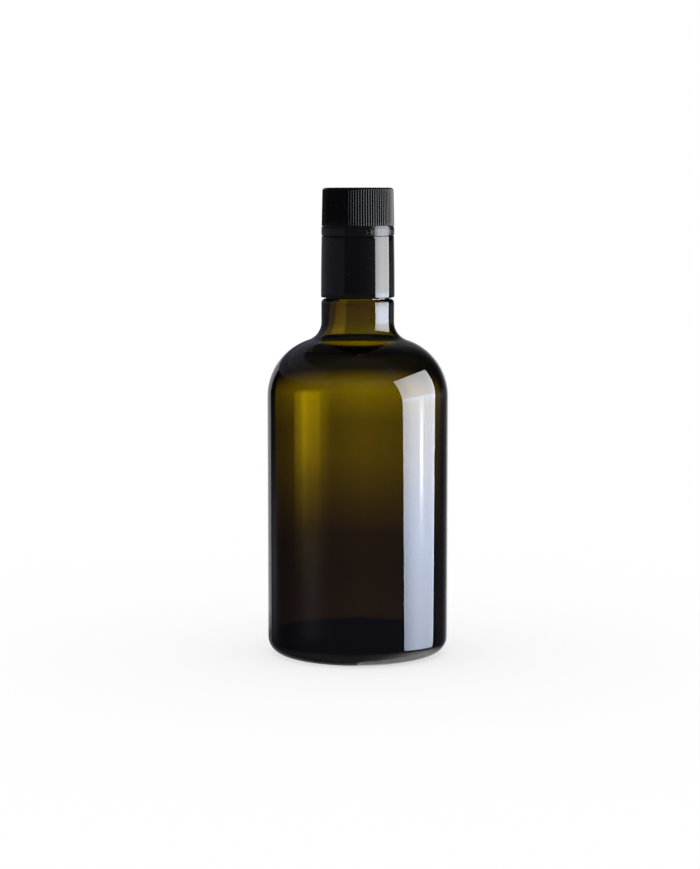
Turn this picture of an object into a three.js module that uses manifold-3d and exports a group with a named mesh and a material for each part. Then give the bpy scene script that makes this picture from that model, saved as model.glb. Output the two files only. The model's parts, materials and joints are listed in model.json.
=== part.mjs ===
// A capped half-litre oil bottle in dark green glass. It stands on z = 0 with its axis on +Z, in millimetres.
import * as THREE from 'three';
import { mergeVertices } from 'three/addons/utils/BufferGeometryUtils.js';
import Module from 'manifold-3d';

// The whole
const totalHeight = 203;
const bodyDiameter = 78.7;
const neckDiameter = 31.7;
const closureHeight = 47.4;
const clearance = 0.3; // between pieces that touch in the real thing

// Glass
const wall = 3.1;
const shoulderStart = 112.6; // where the straight side ends
const shoulderRadius = 25.7;
const neckFillet = 8.3; // hollow curve from the shoulder into the neck
const innerFillet = 16.2; // the same curve inside, where it is gentler
const neckTop = 155; // ledge below the closure
const neckTopRound = 1.7;
const heelRadius = 7;
const bearingRound = 6; // from the ring it stands on into the push-up
const floorHeight = 6; // inside, at its lowest ring
const floorRound = 8; // inside, from that ring onto the push-up
const floorCorner = 5.4; // inside, from that ring up into the side wall
const puntHeight = 14.3; // inside, at the middle of the push-up
const puntRadius = 45; // inside, how round the push-up's dome is
const puntGlass = 5;
const finishRadius = 13.8; // the stretch of neck that the closure hides
const boreRadius = 11.5;
const boreFoot = 160; // the bore widens below this, towards the neck
const lipRound = 0.9;

// Closure
const capHeight = 16.6;
const capPlate = 1.9; // thickness of the cap's top
const capFootRadius = 15.72; // over the ribs
const capTopRadius = 15.36;
const capCorner = 1.4;
const ribCount = 86;
const ribDepth = 0.3;
const bandHeight = 3.6;
const bandRadius = 15.8;
const slitCount = 48;
const slitWidth = 0.4;
const slitDepth = 0.3;
const sleeveFootRadius = 16;
const sleeveTopRadius = 15.72;
const sleeveFootRound = 0.5;
const sleeveTopBevel = 0.25;
const closureBore = 14.3; // inside all three closure pieces

// How finely each round is cut
const glassSegments = 48;
const closureSegments = 40;
const domeSteps = 4;
const roundSteps = 3;
const heelSteps = 5;
const shoulderSteps = 7;
const filletSteps = 4;
const edgeSteps = 2;
const sleeveSteps = 3;

// Worked out from the sizes above
const bodyRadius = bodyDiameter / 2;
const neckRadius = neckDiameter / 2;
const mouthHeight = totalHeight - capPlate - clearance;
const capFoot = totalHeight - capHeight;
const bandFoot = capFoot - clearance - bandHeight;
const sleeveTop = bandFoot - clearance;
const sleeveFoot = totalHeight - closureHeight;

const quarter = Math.PI / 2;
const half = Math.PI;
const whole = 2 * Math.PI;

const wasm = await Module();
wasm.setup();

// Outlines are lists of [x, y] pairs, which for a turned piece are its radius and height
function arc(centreX, centreY, radius, from, to, steps) {
  const points = [];
  for (let i = 0; i <= steps; i += 1) {
    const angle = from + ((to - from) * i) / steps;
    points.push([centreX + radius * Math.cos(angle), centreY + radius * Math.sin(angle)]);
  }
  return points;
}

function asVectors(outline) {
  return outline.map(([x, y]) => new THREE.Vector2(x, y));
}

function turned(outline, segments) {
  return new THREE.LatheGeometry(asVectors(outline), segments).rotateX(quarter);
}

function extruded(outline, holes, height) {
  const shape = new THREE.Shape(asVectors(outline));
  shape.holes = holes.map((hole) => new THREE.Path(asVectors(hole)));
  return new THREE.ExtrudeGeometry(shape, { depth: height, bevelEnabled: false });
}

function asSolid(geometry) {
  const bare = geometry.clone();
  bare.deleteAttribute('normal');
  bare.deleteAttribute('uv');
  const merged = mergeVertices(bare);
  return new wasm.Manifold(new wasm.Mesh({
    numProp: 3,
    vertProperties: new Float32Array(merged.attributes.position.array),
    triVerts: new Uint32Array(merged.index.array),
  }));
}

function asGeometry(solid) {
  const mesh = solid.getMesh();
  const geometry = new THREE.BufferGeometry();
  geometry.setAttribute('position', new THREE.BufferAttribute(mesh.vertProperties, 3));
  geometry.setIndex(new THREE.BufferAttribute(mesh.triVerts, 1));
  geometry.computeVertexNormals();
  return geometry;
}

// The base from its middle out to the side wall: a dome, the round that ends it, a flat ring and a corner
function baseOutline({ domeRadius, round, ringHeight, corner, sideRadius }) {
  const domeCentre = puntHeight - puntRadius;
  const lift = ringHeight + round - domeCentre;
  const roundX = Math.sqrt((domeRadius + round) ** 2 - lift ** 2);
  const lean = Math.atan2(lift, roundX);
  return [
    ...arc(0, domeCentre, domeRadius, quarter, lean, domeSteps),
    ...arc(roundX, ringHeight + round, round, lean - half, -quarter, roundSteps).slice(1),
    ...arc(sideRadius - corner, ringHeight + corner, corner, -quarter, 0, heelSteps),
  ];
}

// The shoulder's round and the hollow fillet it runs into; inset is the wall, for the inside of the glass
function shoulderOutline(inset, fillet) {
  const round = shoulderRadius - inset;
  const centreX = bodyRadius - shoulderRadius;
  const filletX = neckRadius - inset + fillet;
  const rise = Math.sqrt((round + fillet) ** 2 - (filletX - centreX) ** 2);
  const meet = Math.atan2(rise, filletX - centreX);
  return [
    ...arc(centreX, shoulderStart, round, 0, meet, shoulderSteps),
    ...arc(filletX, shoulderStart + rise, fillet, meet - half, -half, filletSteps).slice(1),
  ];
}

function bottleGeometry() {
  const outside = [
    ...baseOutline({
      domeRadius: puntRadius - puntGlass,
      round: bearingRound,
      ringHeight: 0,
      corner: heelRadius,
      sideRadius: bodyRadius,
    }),
    ...shoulderOutline(0, neckFillet),
    ...arc(neckRadius - neckTopRound, neckTop - neckTopRound, neckTopRound, 0, quarter, roundSteps),
    [finishRadius, neckTop],
    ...arc(finishRadius - lipRound, mouthHeight - lipRound, lipRound, 0, quarter, edgeSteps),
  ];
  const inside = [
    ...baseOutline({
      domeRadius: puntRadius,
      round: floorRound,
      ringHeight: floorHeight,
      corner: floorCorner,
      sideRadius: bodyRadius - wall,
    }),
    ...shoulderOutline(wall, innerFillet),
    [boreRadius, boreFoot],
    ...arc(boreRadius + lipRound, mouthHeight - lipRound, lipRound, half, quarter, edgeSteps),
  ];
  return turned([...outside, ...inside.reverse()], glassSegments);
}

// Ribs run up the side, lean in a little and die out in the round of the top edge
function capGeometry() {
  const zigzag = [];
  for (let i = 0; i < 2 * ribCount; i += 1) {
    const angle = (i * half) / ribCount;
    const radius = capFootRadius - (i % 2) * ribDepth;
    zigzag.push([radius * Math.cos(angle), radius * Math.sin(angle)]);
  }
  const ribs = extruded(zigzag, [], capHeight);
  const corners = ribs.attributes.position;
  for (let i = 0; i < corners.count; i += 1) {
    const share = corners.getZ(i) / capHeight;
    const narrowing = 1 + share * (capTopRadius / capFootRadius - 1);
    corners.setXY(i, corners.getX(i) * narrowing, corners.getY(i) * narrowing);
  }
  const room = 1; // the blank stands clear of the ribs below its rounded edge
  const overFlats = 1 / Math.cos(half / closureSegments); // so that its flats touch the true round
  const cornerFoot = capHeight - capCorner;
  const roundedEdge = arc(capTopRadius - capCorner, cornerFoot, capCorner, 0, quarter, edgeSteps);
  const blank = turned([
    [0, -room],
    [capFootRadius + room, -room],
    ...roundedEdge.map(([r, z]) => [r * overFlats, z]),
    [0, capHeight],
  ], closureSegments);
  const bore = turned([
    [0, -room],
    [closureBore, -room],
    [closureBore, capHeight - capPlate],
    [0, capHeight - capPlate],
  ], closureSegments);
  const cap = asSolid(ribs).intersect(asSolid(blank)).subtract(asSolid(bore));
  return asGeometry(cap).translate(0, 0, capFoot);
}

// A ring with fine upright slits in its outer face
function bandGeometry() {
  const outline = [];
  const pitch = whole / slitCount;
  const halfSlit = slitWidth / 2 / bandRadius;
  for (let i = 0; i < slitCount; i += 1) {
    const middle = i * pitch;
    outline.push(...arc(0, 0, bandRadius - slitDepth, middle - halfSlit, middle + halfSlit, 1));
    outline.push(...arc(0, 0, bandRadius, middle + halfSlit, middle + pitch - halfSlit, 1));
  }
  const hole = arc(0, 0, closureBore, 0, whole, closureSegments).slice(1);
  return extruded(outline, [hole], bandHeight).translate(0, 0, bandFoot);
}

// The sleeve narrows upwards, faster towards its top
function sleeveGeometry() {
  const lowest = sleeveFoot + sleeveFootRound;
  const highest = sleeveTop - sleeveTopBevel;
  const side = [];
  for (let i = 1; i <= sleeveSteps; i += 1) {
    const share = i / sleeveSteps;
    const widening = Math.sin(quarter * (1 - share));
    const radius = sleeveTopRadius + (sleeveFootRadius - sleeveTopRadius) * widening;
    side.push([radius, lowest + (highest - lowest) * share]);
  }
  return turned([
    [closureBore, sleeveFoot],
    ...arc(sleeveFootRadius - sleeveFootRound, lowest, sleeveFootRound, -quarter, 0, edgeSteps),
    ...side,
    [sleeveTopRadius - sleeveTopBevel, sleeveTop],
    [closureBore, sleeveTop],
    [closureBore, sleeveFoot],
  ], closureSegments);
}

function finish(color, roughness, more) {
  return new THREE.MeshStandardMaterial({ color, roughness, metalness: 0, ...more });
}

const pieces = [
  ['glass_bottle', bottleGeometry(), finish('#2e2a08', 0.05, { transparent: true, opacity: 0.75 })],
  ['sleeve', sleeveGeometry(), finish('#0e0d10', 0.08)],
  ['tamper_band', bandGeometry(), finish('#151516', 0.5)],
  ['screw_cap', capGeometry(), finish('#121213', 0.35)],
];

const bottle = new THREE.Group();
for (const [name, geometry, material] of pieces) {
  const mesh = new THREE.Mesh(geometry, material);
  mesh.name = name;
  bottle.add(mesh);
}

export default bottle;
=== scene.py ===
# A shut half-litre oil bottle: dark green glass under a black ribbed closure. Metres, +Z up.
import json
import math

import bpy
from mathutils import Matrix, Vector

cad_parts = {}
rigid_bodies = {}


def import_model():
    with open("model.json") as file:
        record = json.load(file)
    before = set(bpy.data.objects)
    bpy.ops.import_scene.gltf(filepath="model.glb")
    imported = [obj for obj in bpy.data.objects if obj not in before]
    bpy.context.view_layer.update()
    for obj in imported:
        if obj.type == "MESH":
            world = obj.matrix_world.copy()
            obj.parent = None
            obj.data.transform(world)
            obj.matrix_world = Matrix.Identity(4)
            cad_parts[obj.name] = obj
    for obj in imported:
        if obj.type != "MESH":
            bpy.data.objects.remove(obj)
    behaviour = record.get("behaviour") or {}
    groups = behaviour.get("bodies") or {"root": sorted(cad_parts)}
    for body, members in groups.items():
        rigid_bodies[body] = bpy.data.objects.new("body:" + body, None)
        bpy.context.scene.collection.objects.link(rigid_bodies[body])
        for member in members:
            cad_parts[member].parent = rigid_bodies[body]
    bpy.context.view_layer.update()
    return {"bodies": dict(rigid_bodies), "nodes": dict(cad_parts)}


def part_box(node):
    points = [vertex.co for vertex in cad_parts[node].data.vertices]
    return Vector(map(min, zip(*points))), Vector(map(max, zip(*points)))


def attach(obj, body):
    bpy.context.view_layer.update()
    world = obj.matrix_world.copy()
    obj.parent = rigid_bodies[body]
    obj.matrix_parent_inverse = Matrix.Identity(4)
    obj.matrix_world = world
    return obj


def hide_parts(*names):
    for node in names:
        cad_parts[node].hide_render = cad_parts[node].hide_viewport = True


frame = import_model()
print("Frame loaded:", ", ".join(sorted(frame["nodes"])))

mm = 0.001
quarter = math.pi / 2
rootBody = "root" if "root" in frame["bodies"] else sorted(frame["bodies"])[0]

scene = bpy.context.scene
scene.view_settings.view_transform = "Standard"


# Small helpers

def addNode(tree, kind, inputs=None, **settings):
    node = tree.nodes.new(kind)
    for key, value in settings.items():
        setattr(node, key, value)
    for key, value in (inputs or {}).items():
        if isinstance(value, bpy.types.NodeSocket):
            tree.links.new(value, node.inputs[key])
        else:
            node.inputs[key].default_value = value
    return node


def calc(tree, operation, *values):
    return addNode(tree, "ShaderNodeMath", dict(enumerate(values)), operation=operation).outputs[0]


def mapped(tree, value, fromMin, fromMax, toMin=0.0, toMax=1.0, kind="LINEAR"):
    ends = {"Value": value, "From Min": fromMin, "From Max": fromMax, "To Min": toMin, "To Max": toMax}
    return addNode(tree, "ShaderNodeMapRange", ends, interpolation_type=kind).outputs[0]


def noiseAt(tree, place, size, detail):
    inputs = {"Vector": place, "Scale": size, "Detail": detail}
    return addNode(tree, "ShaderNodeTexNoise", inputs).outputs[0]


def arc(centreX, centreY, radius, start, end, steps):
    angles = [start + (end - start) * i / steps for i in range(steps + 1)]
    return [(centreX + radius * math.cos(a), centreY + radius * math.sin(a)) for a in angles]


def line(start, end, steps):
    shares = [i / steps for i in range(steps + 1)]
    return [(start[0] + (end[0] - start[0]) * t, start[1] + (end[1] - start[1]) * t) for t in shares]


# One Geometry Nodes tree turns a profile about +Z. It cuts the same upright groove again and again
# round the piece, with a flat floor or, where Ridges is 1, with rounded ridges that meet in sharp
# valleys. It lets the surface wander a little, as glass does where no mould touched it.

def turningTree():
    tree = bpy.data.node_groups.new("turnedForm", "GeometryNodeTree")
    tree.interface.new_socket("Form", in_out="OUTPUT", socket_type="NodeSocketGeometry")
    tree.interface.new_socket("Profile", in_out="INPUT", socket_type="NodeSocketGeometry")
    wanted = (
        ("Segments", "NodeSocketInt", 96),
        ("Repeats", "NodeSocketInt", 1),
        ("First Angle", "NodeSocketFloat", 0.0),
        ("Crowding", "NodeSocketFloat", 0.0),
        ("Cut Depth", "NodeSocketFloat", 0.0),
        ("Cut Width", "NodeSocketFloat", 1 * mm),
        ("Cut Slope", "NodeSocketFloat", 0.5 * mm),
        ("Ridges", "NodeSocketFloat", 0.0),
        ("Wave Height", "NodeSocketFloat", 0.0),
        ("Waves Around", "NodeSocketFloat", 1.5),
        ("Waves Up", "NodeSocketFloat", 12.0),
        ("Crease Angle", "NodeSocketFloat", math.radians(40)),
        ("Finish", "NodeSocketMaterial", None),
    )
    for name, kind, value in wanted:
        socket = tree.interface.new_socket(name, in_out="INPUT", socket_type=kind)
        if value is not None:
            socket.default_value = value
    given = addNode(tree, "NodeGroupInput").outputs
    profile = given["Profile"]

    extent = addNode(tree, "GeometryNodeAttributeDomainSize", {"Geometry": profile}, component="MESH")
    rows = extent.outputs[0]
    inputs = {"Vertices X": calc(tree, "ADD", given["Segments"], 1.0), "Vertices Y": rows}
    grid = addNode(tree, "GeometryNodeMeshGrid", inputs).outputs["Mesh"]
    index = addNode(tree, "GeometryNodeInputIndex").outputs[0]
    column = calc(tree, "FLOOR", calc(tree, "DIVIDE", index, rows))
    row = calc(tree, "SUBTRACT", index, calc(tree, "MULTIPLY", column, rows))

    # Columns stand closer together beside each groove
    even = calc(tree, "MULTIPLY", calc(tree, "DIVIDE", column, given["Segments"]), 2 * math.pi)
    past = calc(tree, "MULTIPLY", calc(tree, "SUBTRACT", even, given["First Angle"]), given["Repeats"])
    pull = calc(tree, "MULTIPLY", calc(tree, "SINE", past), given["Crowding"])
    angle = calc(tree, "SUBTRACT", even, calc(tree, "DIVIDE", pull, given["Repeats"]))
    cosine = calc(tree, "COSINE", angle)
    sine = calc(tree, "SINE", angle)

    def fromProfile(value, kind):
        inputs = {"Geometry": profile, "Value": value, "Index": row}
        return addNode(tree, "GeometryNodeSampleIndex", inputs, data_type=kind, domain="POINT").outputs[0]

    def profileValue(name):
        named = addNode(tree, "GeometryNodeInputNamedAttribute", {"Name": name}, data_type="FLOAT")
        return fromProfile(named.outputs[0], "FLOAT")

    place = fromProfile(addNode(tree, "GeometryNodeInputPosition").outputs[0], "FLOAT_VECTOR")
    radius, _, height = addNode(tree, "ShaderNodeSeparateXYZ", {0: place}).outputs

    # How far the point lies from the middle of the nearest groove, along the surface
    pitch = calc(tree, "DIVIDE", 2 * math.pi, given["Repeats"])
    halfPitch = calc(tree, "MULTIPLY", pitch, 0.5)
    swing = calc(tree, "SUBTRACT", angle, given["First Angle"])
    offMiddle = calc(tree, "WRAP", swing, halfPitch, calc(tree, "MULTIPLY", halfPitch, -1.0))
    away = calc(tree, "MULTIPLY", calc(tree, "ABSOLUTE", offMiddle), radius)
    halfWidth = calc(tree, "MULTIPLY", given["Cut Width"], 0.5)
    floorEdge = calc(tree, "SUBTRACT", halfWidth, given["Cut Slope"])
    smooth = mapped(tree, away, floorEdge, halfWidth, 1.0, 0.0, "SMOOTHSTEP")
    ridged = calc(tree, "POWER", mapped(tree, away, 0.0, halfWidth, 1.0, 0.0), 2.0)
    sharper = calc(tree, "MULTIPLY", calc(tree, "SUBTRACT", ridged, smooth), given["Ridges"])
    groove = calc(tree, "ADD", smooth, sharper)
    cut = calc(tree, "MULTIPLY", calc(tree, "MULTIPLY", groove, given["Cut Depth"]), profileValue("cut"))

    spread = addNode(tree, "ShaderNodeCombineXYZ", {
        "X": calc(tree, "MULTIPLY", cosine, given["Waves Around"]),
        "Y": calc(tree, "MULTIPLY", sine, given["Waves Around"]),
        "Z": calc(tree, "MULTIPLY", height, given["Waves Up"]),
    }).outputs[0]
    swell = calc(tree, "SUBTRACT", noiseAt(tree, spread, 1.0, 1.0), 0.5)
    swell = calc(tree, "MULTIPLY", swell, calc(tree, "MULTIPLY", given["Wave Height"], 2.0))
    wave = calc(tree, "MULTIPLY", swell, profileValue("wave"))

    reach = calc(tree, "ADD", calc(tree, "SUBTRACT", radius, cut), wave)
    turnedPlace = addNode(tree, "ShaderNodeCombineXYZ", {
        "X": calc(tree, "MULTIPLY", reach, cosine),
        "Y": calc(tree, "MULTIPLY", reach, sine),
        "Z": height,
    }).outputs[0]
    form = addNode(tree, "GeometryNodeSetPosition", {"Geometry": grid, "Position": turnedPlace}).outputs[0]
    inputs = {"Geometry": form, "Distance": 0.001 * mm}
    form = addNode(tree, "GeometryNodeMergeByDistance", inputs).outputs[0]
    bend = addNode(tree, "GeometryNodeInputMeshEdgeAngle").outputs[0]
    inputs = {0: bend, 1: given["Crease Angle"]}
    crease = addNode(tree, "FunctionNodeCompare", inputs, operation="GREATER_THAN").outputs[0]
    form = addNode(tree, "GeometryNodeSetShadeSmooth", {"Geometry": form}, domain="FACE").outputs[0]
    inputs = {"Geometry": form, "Selection": crease, "Shade Smooth": False}
    form = addNode(tree, "GeometryNodeSetShadeSmooth", inputs, domain="EDGE").outputs[0]
    form = addNode(tree, "GeometryNodeRealizeInstances", {"Geometry": form}).outputs[0]
    inputs = {"Geometry": form, "Material": given["Finish"]}
    form = addNode(tree, "GeometryNodeSetMaterial", inputs).outputs[0]
    addNode(tree, "NodeGroupOutput", {"Form": form})
    return tree


turnedForm = turningTree()
turnedInputs = {
    item.name: item.identifier
    for item in turnedForm.interface.items_tree
    if item.item_type == "SOCKET" and item.in_out == "INPUT"
}


class Profile:
    def __init__(self):
        self.points = []
        self.values = {"cut": [], "wave": []}

    def add(self, points, cut=0.0, wave=0.0):
        for point in points:
            if self.points and math.dist(point, self.points[-1]) < 0.01 * mm:
                continue
            self.points.append(point)
            self.values["cut"].append(cut)
            self.values["wave"].append(wave)


def turnedPiece(name, profile, node, settings):
    mesh = bpy.data.meshes.new(name + "Profile")
    mesh.from_pydata([(r, 0, z) for r, z in profile.points], [], [])
    for key, values in profile.values.items():
        mesh.attributes.new(key, "FLOAT", "POINT").data.foreach_set("value", values)
    piece = bpy.data.objects.new(name, mesh)
    scene.collection.objects.link(piece)
    turning = piece.modifiers.new("turning", "NODES")
    turning.node_group = turnedForm
    for key, value in settings.items():
        turning[turnedInputs[key]] = value
    evaluated = piece.evaluated_get(bpy.context.evaluated_depsgraph_get())
    made = bpy.data.meshes.new_from_object(evaluated)
    piece.modifiers.remove(turning)
    piece.data = made
    bpy.data.meshes.remove(mesh)
    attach(piece, rootBody)
    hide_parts(node)
    print(f"{name}: {len(made.polygons)} faces")


# Finishes

def newMaterial(name):
    material = bpy.data.materials.new(name)
    material.use_nodes = True
    material.node_tree.nodes.clear()
    return material, material.node_tree


plasticGrain = {
    "handledSize": 70.0,  # patches per metre that handling has dulled or polished
    "speckSize": 1400.0,
    "speckFrom": 0.68,
    "speckFull": 0.8,
    "depth": 0.02 * mm,
}


def mouldedGrain():
    group = bpy.data.node_groups.new("mouldedGrain", "ShaderNodeTree")
    face = group.interface
    for name, value in (("Size", 2500.0), ("Roughness", 0.3), ("Variation", 0.05)):
        face.new_socket(name, in_out="INPUT", socket_type="NodeSocketFloat").default_value = value
    face.new_socket("Roughness", in_out="OUTPUT", socket_type="NodeSocketFloat")
    face.new_socket("Height", in_out="OUTPUT", socket_type="NodeSocketFloat")
    face.new_socket("Dust", in_out="OUTPUT", socket_type="NodeSocketFloat")
    given = addNode(group, "NodeGroupInput").outputs
    place = addNode(group, "ShaderNodeTexCoord").outputs["Object"]
    handled = noiseAt(group, place, plasticGrain["handledSize"], 4.0)
    speck = noiseAt(group, place, plasticGrain["speckSize"], 2.0)
    lift = calc(group, "MULTIPLY", calc(group, "SUBTRACT", handled, 0.5), given["Variation"])
    addNode(group, "NodeGroupOutput", {
        "Roughness": calc(group, "ADD", given["Roughness"], lift),
        "Height": noiseAt(group, place, given["Size"], 3.0),
        "Dust": mapped(group, speck, plasticGrain["speckFrom"], plasticGrain["speckFull"]),
    })
    return group


grainGroup = mouldedGrain()


def blackPlastic(name, look):
    material, tree = newMaterial(name)
    grain = addNode(tree, "ShaderNodeGroup", node_tree=grainGroup)
    for key in ("Size", "Roughness", "Variation"):
        grain.inputs[key].default_value = look[key]
    tint = addNode(tree, "ShaderNodeMix", data_type="RGBA")
    tint.inputs["A"].default_value = (*look["colour"], 1)
    tint.inputs["B"].default_value = (*look["dustColour"], 1)
    tree.links.new(calc(tree, "MULTIPLY", grain.outputs["Dust"], look["dust"]), tint.inputs["Factor"])
    relief = addNode(tree, "ShaderNodeBump", {
        "Height": grain.outputs["Height"],
        "Strength": look["bump"],
        "Distance": plasticGrain["depth"],
    })
    surface = addNode(tree, "ShaderNodeBsdfPrincipled", {
        "Base Color": tint.outputs["Result"],
        "Roughness": grain.outputs["Roughness"],
        "IOR": look["ior"],
        "Normal": relief.outputs[0],
    })
    addNode(tree, "ShaderNodeOutputMaterial", {"Surface": surface.outputs[0]})
    return material


glassLook = {
    "ior": 1.52,
    "roughness": 0.0,
    "passes": (0.72, 0.655, 0.0),  # the light that its colour lets through
    "density": 1030.0,  # per metre
    "ripple": 0.06,
    "rippleSize": 90.0,
    "rippleDepth": 0.05 * mm,
}


def greenGlass():
    material, tree = newMaterial("greenGlass")
    place = addNode(tree, "ShaderNodeTexCoord").outputs["Object"]
    relief = addNode(tree, "ShaderNodeBump", {
        "Height": noiseAt(tree, place, glassLook["rippleSize"], 2.0),
        "Strength": glassLook["ripple"],
        "Distance": glassLook["rippleDepth"],
    })
    surface = addNode(tree, "ShaderNodeBsdfPrincipled", {
        "Base Color": (1, 1, 1, 1),
        "Roughness": glassLook["roughness"],
        "IOR": glassLook["ior"],
        "Transmission Weight": 1.0,
        "Normal": relief.outputs[0],
    })
    inside = addNode(tree, "ShaderNodeVolumeAbsorption", {
        "Color": (*glassLook["passes"], 1), "Density": glassLook["density"],
    })
    addNode(tree, "ShaderNodeOutputMaterial", {"Surface": surface.outputs[0], "Volume": inside.outputs[0]})
    return material


# Glass

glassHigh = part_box("glass_bottle")[1]
sleeveLow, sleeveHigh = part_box("sleeve")
bandLow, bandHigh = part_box("tamper_band")
capLow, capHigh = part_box("screw_cap")

glassBottle = {
    "wall": 3.1 * mm,
    "shoulderStart": 112.6 * mm,
    "shoulderRadius": 25.7 * mm,
    "neckRadius": 15.85 * mm,
    "neckFillet": 8.3 * mm,
    "innerFillet": 16.2 * mm,
    "neckTop": 155 * mm,
    "neckTopRound": 1.7 * mm,
    "heelRadius": 7 * mm,
    "bearingRound": 6 * mm,
    "floorHeight": 6 * mm,
    "floorRound": 8 * mm,
    "floorCorner": 5.4 * mm,
    "puntHeight": 14.3 * mm,
    "puntRadius": 45 * mm,
    "puntGlass": 5 * mm,
    "finishRadius": 13.8 * mm,
    "boreRadius": 11.5 * mm,
    "boreFoot": 160 * mm,
    "lipRound": 0.9 * mm,
    "segments": 256,
    "seamAzimuth": 4.6,  # degrees to the right of the front
    "seamHeight": 0.05 * mm,
    "seamWidth": 0.7 * mm,
    "innerWave": 0.08 * mm,
}


def baseOutline(domeRadius, roundRadius, ringHeight, corner, sideRadius):
    look = glassBottle
    domeCentre = look["puntHeight"] - look["puntRadius"]
    lift = ringHeight + roundRadius - domeCentre
    roundX = math.sqrt((domeRadius + roundRadius) ** 2 - lift ** 2)
    lean = math.atan2(lift, roundX)
    return (
        arc(0, domeCentre, domeRadius, quarter, lean, 14),
        arc(roundX, ringHeight + roundRadius, roundRadius, lean - math.pi, -quarter, 10),
        arc(sideRadius - corner, ringHeight + corner, corner, -quarter, 0, 14),
    )


def shoulderOutline(inset, filletRadius):
    look = glassBottle
    roundRadius = look["shoulderRadius"] - inset
    centreX = glassHigh.x - look["shoulderRadius"]
    filletX = look["neckRadius"] - inset + filletRadius
    rise = math.sqrt((roundRadius + filletRadius) ** 2 - (filletX - centreX) ** 2)
    meet = math.atan2(rise, filletX - centreX)
    return (
        arc(centreX, look["shoulderStart"], roundRadius, 0, meet, 26),
        arc(filletX, look["shoulderStart"] + rise, filletRadius, meet - math.pi, -math.pi, 14),
    )


def makeGlassBottle():
    look = glassBottle
    sideRadius = glassHigh.x
    mouth = glassHigh.z
    profile = Profile()
    dome, bearing, heel = baseOutline(
        look["puntRadius"] - look["puntGlass"], look["bearingRound"], 0, look["heelRadius"], sideRadius)
    shoulder, fillet = shoulderOutline(0, look["neckFillet"])
    ledge = look["neckTop"] - look["neckTopRound"]
    lip = look["lipRound"]
    neckRadius = look["neckRadius"]
    seamStep = 8  # of the heel's round, where the mould seam starts
    profile.add(dome + bearing)
    profile.add(heel[:seamStep])
    profile.add(heel[seamStep:], cut=1)
    profile.add(line(heel[-1], shoulder[0], 18), cut=1)
    profile.add(shoulder + fillet, cut=1)
    profile.add(line(fillet[-1], (neckRadius, ledge), 5), cut=1)
    profile.add(arc(neckRadius - look["neckTopRound"], ledge, look["neckTopRound"], 0, quarter, 8))
    profile.add(line((look["finishRadius"], look["neckTop"]), (look["finishRadius"], mouth - lip), 4))
    profile.add(arc(look["finishRadius"] - lip, mouth - lip, lip, 0, quarter, 5))

    inner = Profile()
    dome, floor, corner = baseOutline(
        look["puntRadius"], look["floorRound"], look["floorHeight"], look["floorCorner"],
        sideRadius - look["wall"])
    shoulder, fillet = shoulderOutline(look["wall"], look["innerFillet"])
    bore = look["boreRadius"]
    halfWaveStep, fullWaveStep = 4, 9  # of the corner's round
    inner.add(dome + floor)
    inner.add(corner[:halfWaveStep])
    inner.add(corner[halfWaveStep:fullWaveStep], wave=0.5)
    inner.add(corner[fullWaveStep:], wave=1)
    inner.add(line(corner[-1], shoulder[0], 20), wave=1)
    inner.add(shoulder + fillet, wave=1)
    inner.add(line(fillet[-1], (bore, look["boreFoot"]), 4), wave=0.5)
    inner.add(line((bore, look["boreFoot"]), (bore, mouth - lip), 4))
    inner.add(arc(bore + lip, mouth - lip, lip, math.pi, quarter, 5))
    profile.points += reversed(inner.points)
    for key, values in inner.values.items():
        profile.values[key] += reversed(values)
    turnedPiece("glassBottle", profile, "glass_bottle", {
        "Segments": look["segments"],
        "Repeats": 2,
        "First Angle": math.radians(look["seamAzimuth"]) - quarter,
        "Crowding": 0.7,
        "Cut Depth": -look["seamHeight"],
        "Cut Width": look["seamWidth"],
        "Cut Slope": look["seamWidth"] / 2,
        "Wave Height": look["innerWave"],
        "Finish": greenGlass(),
    })


makeGlassBottle()


# Sleeve

glossySleeve = {
    "bore": 14.3 * mm,
    "footRadius": sleeveHigh.x,
    "topRadius": 15.72 * mm,
    "footRound": 0.5 * mm,
    "topRound": 0.3 * mm,
    "segments": 160,
    "finish": {
        "colour": (0.0025, 0.0025, 0.0032),
        "dustColour": (0.25, 0.25, 0.24),
        "dust": 0.05,
        "Size": 300.0,
        "Roughness": 0.05,
        "Variation": 0.05,
        "bump": 0.02,
        "ior": 1.5,
    },
}


def makeSleeve():
    look = glossySleeve
    foot, top = sleeveLow.z, sleeveHigh.z
    low, high = foot + look["footRound"], top - look["topRound"]
    widening = look["footRadius"] - look["topRadius"]
    sideSteps = 12
    side = []
    for i in range(sideSteps + 1):
        share = i / sideSteps
        radius = look["topRadius"] + widening * math.sin(quarter * (1 - share))
        side.append((radius, low + (high - low) * share))
    profile = Profile()
    profile.add([(look["bore"], foot)])
    profile.add(arc(look["footRadius"] - look["footRound"], low, look["footRound"], -quarter, 0, 6))
    profile.add(side)
    profile.add(arc(look["topRadius"] - look["topRound"], high, look["topRound"], 0, quarter, 5))
    profile.add([(look["bore"], top), (look["bore"], foot)])
    turnedPiece("closureSleeve", profile, "sleeve", {
        "Segments": look["segments"],
        "Finish": blackPlastic("glossBlack", look["finish"]),
    })


makeSleeve()


# Tamper band

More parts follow.
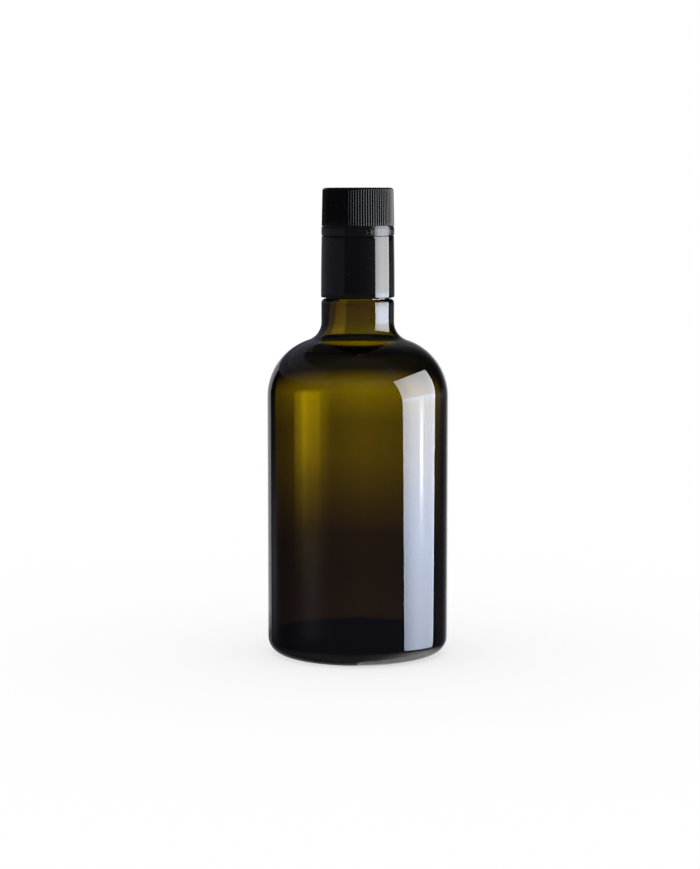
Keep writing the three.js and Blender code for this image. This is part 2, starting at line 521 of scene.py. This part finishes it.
slitBand = {
    "bore": 14.3 * mm,
    "edgeRound": 0.18 * mm,
    "collarIn": 0.35 * mm,  # how far the collars that shut the gaps lie behind its face
    "collarReach": 0.26 * mm,
    "slits": 48,
    "slitWidth": 0.5 * mm,
    "slitDepth": 0.05 * mm,
    "slitSlope": 0.22 * mm,
    "plainTo": 0.45 * mm,  # heights above its foot
    "slitsFrom": 0.6 * mm,
    "slitsTo": 0.5 * mm,  # depths below the line round its top
    "plainFrom": 0.35 * mm,
    "lineBelowTop": 0.75 * mm,
    "lineDepth": 0.1 * mm,
    "columnsPerSlit": 20,
    "finish": {
        "colour": (0.004, 0.004, 0.0045),
        "dustColour": (0.25, 0.25, 0.24),
        "dust": 0.05,
        "Size": 2200.0,
        "Roughness": 0.2,
        "Variation": 0.08,
        "bump": 0.12,
        "ior": 1.5,
    },
}


def makeBand():
    look = slitBand
    foot, top = bandLow.z, bandHigh.z
    radius, edge, bore = bandHigh.x, look["edgeRound"], look["bore"]
    collar, reach = radius - look["collarIn"], look["collarReach"]
    groove = top - look["lineBelowTop"]
    deep = look["lineDepth"]
    profile = Profile()
    profile.add([(bore, foot - reach), (collar, foot - reach), (collar, foot)])
    profile.add(arc(radius - edge, foot + edge, edge, -quarter, 0, 4))
    profile.add([(radius, foot + look["plainTo"])])
    profile.add(line((radius, foot + look["slitsFrom"]), (radius, groove - look["slitsTo"]), 4), cut=1)
    profile.add([(radius, groove - look["plainFrom"]), (radius, groove - deep)])
    profile.add([(radius - deep, groove - deep / 3), (radius - deep, groove + deep / 3)])
    profile.add([(radius, groove + deep)])
    profile.add(arc(radius - edge, top - edge, edge, 0, quarter, 4))
    profile.add([(collar, top), (collar, top + reach), (bore, top + reach), (bore, foot - reach)])
    turnedPiece("tamperBand", profile, "tamper_band", {
        "Segments": look["slits"] * look["columnsPerSlit"],
        "Repeats": look["slits"],
        "Crowding": 0.5,
        "Cut Depth": look["slitDepth"],
        "Cut Width": look["slitWidth"],
        "Cut Slope": look["slitSlope"],
        "Finish": blackPlastic("satinBlack", look["finish"]),
    })


makeBand()


# Screw cap

ribbedCap = {
    "bore": 14.3 * mm,
    "plate": 1.9 * mm,
    "footRadius": capHigh.x,
    "topRadius": 15.36 * mm,
    "corner": 1.4 * mm,
    "ribs": 86,
    "ribDepth": 0.42 * mm,
    "ribFoot": 0.15 * mm,  # plain hem below the ribs
    "ribFade": 0.2 * mm,
    "ribTop": 0.8 * mm,  # plain edge above the ribs
    "ribTopFade": 0.5 * mm,
    "columnsPerRib": 14,
    "hemIn": 0.25 * mm,
    "hemEdge": (0.7, 0.15),  # shares of hemIn, inwards and upwards
    "hemSide": 0.6,
    "crown": 0.12 * mm,
    "finish": {
        "colour": (0.0025, 0.0025, 0.003),
        "dustColour": (0.25, 0.25, 0.24),
        "dust": 0.015,
        "Size": 1800.0,
        "Roughness": 0.03,
        "Variation": 0.01,
        "bump": 0.005,
        "ior": 1.38,
    },
}


def makeCap():
    look = ribbedCap
    foot, top = capLow.z, capHigh.z
    bore, corner = look["bore"], look["corner"]
    footRadius, topRadius = look["footRadius"], look["topRadius"]

    def sideRadius(z):
        return footRadius + (topRadius - footRadius) * (z - foot) / (top - foot)

    ribLow, ribHigh = foot + look["ribFoot"], top - look["ribTop"]
    shoulder = top - corner - look["crown"]
    under = top - look["plate"]
    profile = Profile()
    profile.add(line((0, under), (bore, under), 3))
    profile.add([(bore, foot)])
    hem = look["hemIn"]
    hemInwards, hemUpwards = look["hemEdge"]
    profile.add([(footRadius - hem, foot), (footRadius - hemInwards * hem, foot + hemUpwards * hem)])
    profile.add([(sideRadius(ribLow) - look["hemSide"] * hem, ribLow)])
    fadeSteps = 5
    for i in range(1, fadeSteps):
        share = i / fadeSteps
        z = ribLow + look["ribFade"] * share
        profile.add([(sideRadius(z) - look["hemSide"] * hem * (1 - share), z)], cut=share)
    straightLow = ribLow + look["ribFade"]
    profile.add(line((sideRadius(straightLow), straightLow), (sideRadius(shoulder), shoulder), 10), cut=1)
    edge = arc(sideRadius(shoulder) - corner, shoulder, corner, 0, quarter, 14)
    for r, z in edge[1:]:
        profile.add([(r, z)], cut=max(0.0, min(1.0, (ribHigh - z) / look["ribTopFade"])))
    rim = edge[-1][0]
    crownSteps = 6
    for i in range(1, crownSteps + 1):
        share = i / crownSteps
        profile.add([(rim * (1 - share), top - look["crown"] * (1 - share) ** 2)])
    pitch = 2 * math.pi * footRadius / look["ribs"]
    turnedPiece("screwCap", profile, "screw_cap", {
        "Segments": look["ribs"] * look["columnsPerRib"],
        "Repeats": look["ribs"],
        "Cut Depth": look["ribDepth"],
        "Cut Width": pitch,
        "Cut Slope": pitch / 2,
        "Ridges": 1.0,
        "Finish": blackPlastic("ribbedBlack", look["finish"]),
    })


makeCap()


# Studio: a pale floor and a white world for the camera, and glowing cards that only the bottle meets; two
# black cards among them paint the shade under the bottle and inside the hollow of its base.
# What its gloss mirrors and what shows through its glass are kept apart, as cards and flags do on a
# photographer's table. Turn is the angle in degrees from the front, positive to the right.

studio = {
    "floorRadius": 4.0,
    "floorDrop": 0.0001,  # below the bottle's base
    "floorShade": 0.35,
    "floorGlow": 0.65,
    # how far below the bottle's base the black disc of painted shade lies
    "shadeDiscDrop": 0.0003,
    "roomRadius": 3.0,
    "nearFloorLifts": (-20.0, -36.0),  # where the brighter floor round the bottle starts and is full
    "tubeRadius": 0.05,  # round the bottle, seen only through its glass
    "tubeHigh": 0.20,
    "neckRadius": 0.027,
    "neckLow": 0.1365,
    "neckHigh": 0.160,
    "pushUpGap": 0.0004,
    "pushUpReach": 0.022,
    "windowRadius": 0.07,
    "lowWindow": 0.137,
    "lowWindowEnd": 34,  # turn
    "windowLow": 0.1525,
    "windowHigh": 0.1865,
    "windowEnd": 50,
    "boxDistance": 0.45,  # of the softbox, where it would meet the table
    "boxLean": 0.274,
    "secondMirror": 0.15,  # what is left of a card that is mirrored twice
}

# (height, shade) of the tube, brightest just below the shoulder
tubeShades = (
    (0.0, 0.09), (0.03, 0.06), (0.045, 0.08), (0.062, 0.24), (0.082, 0.5), (0.097, 0.53), (0.106, 0.88),
    (0.112, 1.15), (0.116, 0.9), (0.121, 0.32), (0.124, 0.05), (0.134, 0.045), (0.137, 0.0), (0.2, 0.0),
)
tubeTints = (
    (0.0, (1, 0.7, 0.1)), (0.045, (1, 0.68, 0.1)), (0.062, (1, 0.86, 0.1)), (0.11, (1, 1, 0.1)),
)
tubeSides = (
    (-180, 0.93), (-175, 0.88), (-168, 0.78), (-162, 0.8), (-152, 0.85), (-130, 0.72), (-122, 0.8),
    (-114, 1.1), (-104, 0.8), (-85, 0.8), (0, 0.9), (85, 0.8), (104, 0.7), (114, 0.9), (130, 0.8),
    (155, 0.86), (168, 0.9), (175, 1.0), (180, 0.93),
)

# A brighter strip stands behind on the left
stripSides = (
    (-180, 0.0), (-165, 0.0), (-161, 0.16), (-158.8, 0.24), (-158, 0.45), (-150, 0.7), (-148, 1.0),
    (-146, 0.8), (-144, 0.53), (-140.5, 0.35), (-139.5, 0.0), (180, 0.0),
)
stripShades = (
    (0.02, 0.0), (0.05, 0.14), (0.07, 0.65), (0.088, 1.7), (0.1, 2.1), (0.11, 2.0), (0.1125, 0.0),
)
stripTint = (1, 1.05, 0.1)

# The card behind the neck, whose strip lies in line with the one below
neckSides = (
    (-180, 0.29), (-166, 0.29), (-164, 0.6), (-148, 0.6), (-146, 0.27), (-130, 0.35), (-115, 0.6),
    (-100, 0.5), (0, 0.15), (106, 0.2), (159, 0.38), (169, 0.31), (180, 0.29),
)
neckTint = (1, 0.92, 0.1)

# (lift in degrees, shade) of the room, then its white background on the left and on the right
roomShades = (
    (-90, (0.12, 0.12, 0.15)), (-20, (0.08, 0.075, 0.12)), (-10, (0.1, 0.095, 0.14)),
    (-7, (0.09, 0.085, 0.11)), (-4, 0.05), (0, 0.025), (20, 0.04), (35, 0.06), (45, 0.11), (90, 0.11),
)
leftSides = ((-180, 1.0), (-170, 0.55), (-147.5, 0.5), (-145.5, 0.0), (180, 0.0))
leftLifts = ((-11, 0.25), (-10, 1.0), (5, 1.0), (28, 0.7), (32, 0.0))
rightSides = ((-180, 0.0), (140, 0.02), (152, 0.15), (158, 0.5), (164, 1.0), (180, 1.0))
rightLifts = ((-90, 1.0), (4, 1.0), (12, 0.3), (20, 0.15), (90, 0.1))
floorSides = (
    (-180, 0.1), (-140, 0.02), (-85, 0.1), (0, 0.11), (40, 0.32), (60, 0.75), (90, 1.9), (115, 2.0),
    (140, 1.0), (180, 0.1),
)
roomSides = ((0, 1.0), (70, 1.0), (105, 0.4), (180, 0.4))

# (turn, shade) of the dim window in front of the closure, and of the lower one in front of the neck
windowSides = ((-180, 0.17), (-95, 0.15), (-40, 0.13), (-37, 0.045), (0, 0.05), (25, 0.09), (50, 0.2))
lowWindowSides = ((-180, 0.1), (-90, 0.1), (-37, 0.12), (0, 0.1), (34, 0.15))
windowTint = (1, 0.96, 1.22)

# Soft patches of light in the room that brighten the sides of the body
fills = (
    {"turn": -60, "lift": -9, "turnWidth": 14, "liftWidth": 2.2, "shade": 0.14},
    {"turn": -134, "lift": -8.5, "turnWidth": 9, "liftWidth": 2.6, "shade": 0.11},
    {"turn": 128, "lift": 0, "turnWidth": 14, "liftWidth": 3.2, "shade": 0.2},
)

# The softbox: its corners as (distance to the back, height), (height, colour) up it, and (distance to
# the back, share) across it
boxCorners = ((-0.281, -0.16), (0.162, -0.16), (0.162, 0.33), (-0.292, 0.385))
boxShades = (
    (-0.16, (6.0, 7.0, 9.0)), (-0.076, (7.7, 8.6, 10.7)), (-0.014, (9.7, 11.0, 14.1)),
    (0.034, (11.5, 12.2, 14.2)), (0.078, (12.0, 12.4, 13.0)), (0.108, (12.8, 13.8, 16.0)),
    (0.132, (12.3, 13.5, 15.6)), (0.142, (10.6, 10.9, 11.4)), (0.160, (10.2, 10.4, 10.8)),
    (0.39, (7.0, 7.2, 7.5)),
)
boxSides = (
    (-0.292, 0.95), (-0.276, 0.82), (-0.237, 0.84), (-0.144, 1.0), (-0.05, 1.0), (0.028, 0.84),
    (0.08, 0.74), (0.13, 0.72), (0.150, 0.78), (0.162, 0.95),
)
boxSpot = {"back": -0.041, "up": 0.042, "backWidth": 0.018, "upWidth": 0.035, "gain": 0.9}

world = bpy.data.worlds.new("white")
world.use_nodes = True
scene.world = world
world.node_tree.nodes["Background"].inputs["Color"].default_value = (1, 1, 1, 1)
world.cycles_visibility.glossy = False
world.cycles_visibility.transmission = False


def stagePiece(name, corners, faces, material, seenBy):
    mesh = bpy.data.meshes.new(name)
    mesh.from_pydata(corners, [], faces)
    mesh.materials.append(material)
    piece = bpy.data.objects.new(name, mesh)
    scene.collection.objects.link(piece)
    for kind in ("camera", "diffuse", "glossy", "transmission", "shadow"):
        setattr(piece, "visible_" + kind, kind in seenBy)


def around(radius, height, turn):
    return (radius * math.sin(turn), -radius * math.cos(turn), height)


def disc(radius, height, steps=96):
    return [around(radius, height, 2 * math.pi * i / steps) for i in range(steps)], [tuple(range(steps))]


def curvedCard(radius, low, high, first=-180, last=180, steps=120):
    turns = [math.radians(first + (last - first) * i / steps) for i in range(steps + 1)]
    corners = [around(radius, low, t) for t in turns] + [around(radius, high, t) for t in turns]
    return corners, [(i, i + 1, steps + 2 + i, steps + 1 + i) for i in range(steps)]


def turnedCard(outline, steps=64):
    corners = [around(r, z, 2 * math.pi * i / steps) for r, z in outline for i in range(steps)]
    faces = []
    for j in range(len(outline) - 1):
        for i in range(steps):
            low, lowNext = j * steps + i, j * steps + (i + 1) % steps
            faces.append((low, lowNext, lowNext + steps, low + steps))
    return corners, faces


def ramp(tree, value, stops):
    shades = [shade if isinstance(shade, tuple) else (shade, shade, shade) for _, shade in stops]
    peak = max(1.0, *[max(shade) for shade in shades])
    low, high = stops[0][0], stops[-1][0]
    node = addNode(tree, "ShaderNodeValToRGB", {"Fac": mapped(tree, value, low, high)})
    elements = node.color_ramp.elements
    while len(elements) < len(stops):
        elements.new(1.0)
    for element, (place, _), shade in zip(elements, stops, shades):
        element.position = (place - low) / (high - low)
        element.color = (*[part / peak for part in shade], 1)
    return mixed(tree, "MULTIPLY", node.outputs["Color"], (peak, peak, peak, 1))


def mixed(tree, blend, a, b):
    node = addNode(tree, "ShaderNodeMix", data_type="RGBA", blend_type=blend, clamp_result=False)
    for key, value in {"Factor": 1.0, "A": a, "B": b}.items():
        socket = next(s for s in node.inputs if s.name == key and s.enabled)
        if isinstance(value, bpy.types.NodeSocket):
            tree.links.new(value, socket)
        else:
            socket.default_value = value
    return next(s for s in node.outputs if s.enabled)


def bump(tree, value, middle, width):
    off = calc(tree, "DIVIDE", calc(tree, "SUBTRACT", value, middle), width)
    return calc(tree, "EXPONENT", calc(tree, "MULTIPLY", calc(tree, "POWER", off, 2.0), -1.0))


def notMirrored(tree):  # through the glass only, with no mirror image from inside its wall
    depth = addNode(tree, "ShaderNodeLightPath").outputs["Glossy Depth"]
    return calc(tree, "LESS_THAN", depth, 0.5)


def mirroredOnce(tree):
    depth = addNode(tree, "ShaderNodeLightPath").outputs["Ray Depth"]
    return mapped(tree, depth, 1.0, 2.0, 1.0, studio["secondMirror"])


def glow(name, makeColour, strength=lambda tree: 1.0):
    material, tree = newMaterial(name)
    place = addNode(tree, "ShaderNodeTexCoord").outputs["Object"]
    x, y, z = addNode(tree, "ShaderNodeSeparateXYZ", {0: place}).outputs
    inputs = {"Color": makeColour(tree, x, y, z), "Strength": strength(tree)}
    shine = addNode(tree, "ShaderNodeEmission", inputs)
    addNode(tree, "ShaderNodeOutputMaterial", {"Surface": shine.outputs[0]})
    material.cycles.emission_sampling = "NONE"
    return material


def turnOf(tree, x, y):
    return calc(tree, "DEGREES", calc(tree, "ARCTAN2", x, calc(tree, "MULTIPLY", y, -1.0)))


def floorMaterial():
    material, tree = newMaterial("floorPaper")
    paper = addNode(tree, "ShaderNodeBsdfDiffuse", {"Color": (*[studio["floorShade"]] * 3, 1)})
    shine = addNode(tree, "ShaderNodeEmission", {"Strength": studio["floorGlow"]})
    lit = addNode(tree, "ShaderNodeAddShader", {0: paper.outputs[0], 1: shine.outputs[0]})
    clear = addNode(tree, "ShaderNodeBsdfTransparent")
    below = addNode(tree, "ShaderNodeNewGeometry").outputs["Backfacing"]
    mix = addNode(tree, "ShaderNodeMixShader", {0: below, 1: lit.outputs[0], 2: clear.outputs[0]})
    addNode(tree, "ShaderNodeOutputMaterial", {"Surface": mix.outputs[0]})
    material.cycles.emission_sampling = "NONE"
    return material


# Black, for the cards that paint shade under the bottle and in the hollow of its base
def black(tree, x, y, z):
    return (0, 0, 0, 1)


def tubeColour(tree, x, y, z):
    turn = turnOf(tree, x, y)
    even = mixed(tree, "MULTIPLY", ramp(tree, z, tubeShades), ramp(tree, turn, tubeSides))
    even = mixed(tree, "MULTIPLY", even, ramp(tree, z, tubeTints))
    strip = mixed(tree, "MULTIPLY", ramp(tree, z, stripShades), ramp(tree, turn, stripSides))
    return mixed(tree, "ADD", even, mixed(tree, "MULTIPLY", strip, (*stripTint, 1)))


def sidesColour(sides, tint):
    def makeColour(tree, x, y, z):
        return mixed(tree, "MULTIPLY", ramp(tree, turnOf(tree, x, y), sides), (*tint, 1))
    return makeColour


def roomColour(tree, x, y, z):
    turn = turnOf(tree, x, y)
    lift = calc(tree, "DEGREES", calc(tree, "ARCSINE", calc(tree, "DIVIDE", z, studio["roomRadius"])))
    offFront = calc(tree, "ABSOLUTE", turn)
    nearFloor = mapped(tree, lift, *studio["nearFloorLifts"])
    room = mixed(tree, "MULTIPLY", ramp(tree, lift, roomShades), ramp(tree, offFront, roomSides))
    left = mixed(tree, "MULTIPLY", ramp(tree, turn, leftSides), ramp(tree, lift, leftLifts))
    floor = mixed(tree, "MULTIPLY", ramp(tree, turn, floorSides), nearFloor)
    right = mixed(tree, "MULTIPLY", ramp(tree, turn, rightSides), ramp(tree, lift, rightLifts))
    for more in (left, floor, right):
        room = mixed(tree, "ADD", room, more)
    for fill in fills:
        across = calc(tree, "MULTIPLY", bump(tree, turn, fill["turn"], fill["turnWidth"]), fill["shade"])
        patch = calc(tree, "MULTIPLY", bump(tree, lift, fill["lift"], fill["liftWidth"]), across)
        room = mixed(tree, "ADD", room, patch)
    return room


def boxColour(tree, x, y, z):
    spot = calc(tree, "MULTIPLY", bump(tree, y, boxSpot["back"], boxSpot["backWidth"]),
                bump(tree, z, boxSpot["up"], boxSpot["upWidth"]))
    gain = calc(tree, "ADD", calc(tree, "MULTIPLY", spot, boxSpot["gain"]), 1.0)
    cloth = mixed(tree, "MULTIPLY", ramp(tree, z, boxShades), ramp(tree, y, boxSides))
    return mixed(tree, "MULTIPLY", cloth, gain)


# A black card follows this outline; seen only through the glass, it is painted shade inside the hollow of
# the base.
def pushUpOutline():  # just under the hollow of the base
    look = glassBottle
    radius = look["puntRadius"] - look["puntGlass"] - studio["pushUpGap"]
    edge = math.acos(studio["pushUpReach"] / radius)
    return arc(0, look["puntHeight"] - look["puntRadius"], radius, edge, quarter, 10)


def softbox():
    corners = [(studio["boxDistance"] - studio["boxLean"] * z, y, z) for y, z in boxCorners]
    return corners, [(0, 1, 2, 3)]


def buildStudio():
    throughGlass, inGloss = {"transmission"}, {"glossy"}
    floor = disc(studio["floorRadius"], -studio["floorDrop"])
    stagePiece("floor", *floor, floorMaterial(), {"camera", "diffuse", "shadow"})
    # A black disc under and round the bottle, seen only through its glass: painted shade where the bottle
    # shades the table beneath it
    shadeDisc = disc(studio["tubeRadius"], -studio["shadeDiscDrop"])
    stagePiece("paintedShadeUnderBottle", *shadeDisc, glow("paintedShadeGlow", black), throughGlass)
    # A black card just under the hollow of the base, seen only through the glass: painted shade inside
    # that hollow
    hollow = turnedCard(pushUpOutline())
    stagePiece("paintedShadeUnderPushUp", *hollow, glow("pushUpPaintedShade", black), throughGlass)
    tube = curvedCard(studio["tubeRadius"], 0.0, studio["tubeHigh"])
    stagePiece("tubeThroughGlass", *tube, glow("tubeGlow", tubeColour, notMirrored), throughGlass)
    neck = curvedCard(studio["neckRadius"], studio["neckLow"], studio["neckHigh"])
    neckGlow = glow("neckGlow", sidesColour(neckSides, neckTint), notMirrored)
    stagePiece("neckCard", *neck, neckGlow, throughGlass)
    room = turnedCard(arc(0, 0, studio["roomRadius"], -quarter, quarter, 64))
    stagePiece("roomInGloss", *room, glow("roomGlow", roomColour, mirroredOnce), inGloss)
    radius, middle, end = studio["windowRadius"], studio["windowLow"], studio["windowEnd"]
    window = curvedCard(radius, middle, studio["windowHigh"], last=end)
    windowGlow = glow("windowGlow", sidesColour(windowSides, windowTint), mirroredOnce)
    stagePiece("windowInGloss", *window, windowGlow, inGloss)
    lowWindow = curvedCard(radius, studio["lowWindow"], middle, last=studio["lowWindowEnd"])
    lowWindowGlow = glow("lowWindowGlow", sidesColour(lowWindowSides, windowTint), mirroredOnce)
    stagePiece("lowWindowInGloss", *lowWindow, lowWindowGlow, inGloss)
    stagePiece("softboxInGloss", *softbox(), glow("softboxGlow", boxColour, mirroredOnce), inGloss)
    print("Studio set")


buildStudio()


# Camera, placed so that the bottle lies in the frame as in the photo

photoCamera = {
    "longSide": 869,  # pixels
    "middleColumn": 350,
    "axisColumn": 357.9,
    "focalPixels": 2305,
    "sensorWidth": 36,  # millimetres
    "distance": 1.0,
    "height": 0.2026,
    "pitch": 6.1,  # degrees down
    "sees": (0.05, 20),
}
lens = bpy.data.cameras.new("photoCamera")
lens.sensor_width = photoCamera["sensorWidth"]
lens.lens = lens.sensor_width * photoCamera["focalPixels"] / photoCamera["longSide"]
lens.clip_start, lens.clip_end = photoCamera["sees"]
camera = bpy.data.objects.new("photoCamera", lens)
scene.collection.objects.link(camera)
offAxis = (photoCamera["axisColumn"] - photoCamera["middleColumn"]) / photoCamera["focalPixels"]
camera.location = (-offAxis * photoCamera["distance"], -photoCamera["distance"], photoCamera["height"])
camera.rotation_euler = (quarter - math.radians(photoCamera["pitch"]), 0, 0)
scene.camera = camera
print("Camera set")
